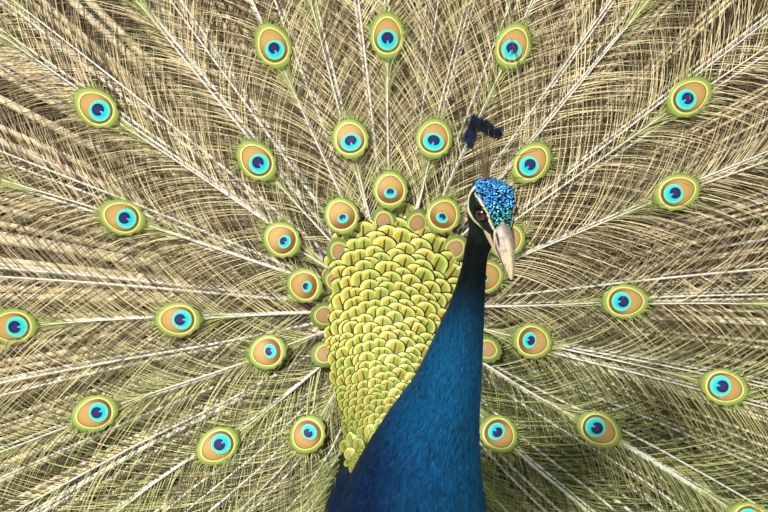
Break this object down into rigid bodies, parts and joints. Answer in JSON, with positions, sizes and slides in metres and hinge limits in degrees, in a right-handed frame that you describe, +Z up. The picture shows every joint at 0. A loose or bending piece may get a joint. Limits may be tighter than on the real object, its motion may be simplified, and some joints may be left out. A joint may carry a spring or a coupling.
{
  "type": "peacock",
  "caption": "Life-size still model of an adult male Indian peafowl standing on its feet with its train raised in a full display fan.",
  "frame": {"origin": "on the floor, under the middle of the bounding box", "axes": "+Z up, the bird faces -Y, its left side is at +X"},
  "size_m": [2.5132, 0.6832, 1.7801],
  "materials": {
    "blue_feather": "soft satin plumage, cobalt to teal, slightly metallic",
    "head_feather": "granular glossy blue crown, black-green lores and cream face skin",
    "gold_scale": "scale-like feathers, yellow-green with dark rims and bronze streaks",
    "train_feather": "loose bronze and olive barbs on cream shafts with ringed eye-spots",
    "tail_feather": "plain matt grey-brown stiff feathers",
    "wing_feather": "matt cinnamon flight feathers",
    "wing_covert": "buff coverts barred with dark brown",
    "down": "soft dull grey-brown and blackish down",
    "crest_feather": "bare brown shafts with dark blue fan tips",
    "bill_horn": "smooth horn, pinkish grey at the base and tan at the tip",
    "eye": "wet dark brown",
    "leg_scale": "grey-brown overlapping leg scales",
    "claw": "dark smooth claw"
  },
  "bodies": {
    "root": {"back_shield": "gold_scale", "bill_lower": "bill_horn", "bill_upper": "bill_horn", "claw_left_hind": "claw", "claw_left_inner": "claw", "claw_left_middle": "claw", "claw_left_outer": "claw", "claw_right_hind": "claw", "claw_right_inner": "claw", "claw_right_middle": "claw", "claw_right_outer": "claw", "crest": "crest_feather", "eye_left": "eye", "eye_right": "eye", "foot_left": "leg_scale", "foot_right": "leg_scale", "head": "head_feather", "neck_lower": "blue_feather", "neck_middle": "blue_feather", "neck_upper": "blue_feather", "shank_left": "leg_scale", "shank_right": "leg_scale", "spur_left": "claw", "spur_right": "claw", "tail_left": "tail_feather", "tail_middle": "tail_feather", "tail_right": "tail_feather", "tail_root": "down", "thigh_left": "down", "thigh_right": "down", "train_01": "train_feather", "train_02": "train_feather", "train_03": "train_feather", "train_04": "train_feather", "train_05": "train_feather", "train_06": "train_feather", "train_07": "train_feather", "train_08": "train_feather", "train_09": "train_feather", "train_10": "train_feather", "train_11": "train_feather", "trunk": "blue_feather", "undertail": "down", "wing_arm_left": "wing_covert", "wing_arm_right": "wing_covert", "wing_left": "wing_feather", "wing_right": "wing_feather"}
  },
  "joints": []
}
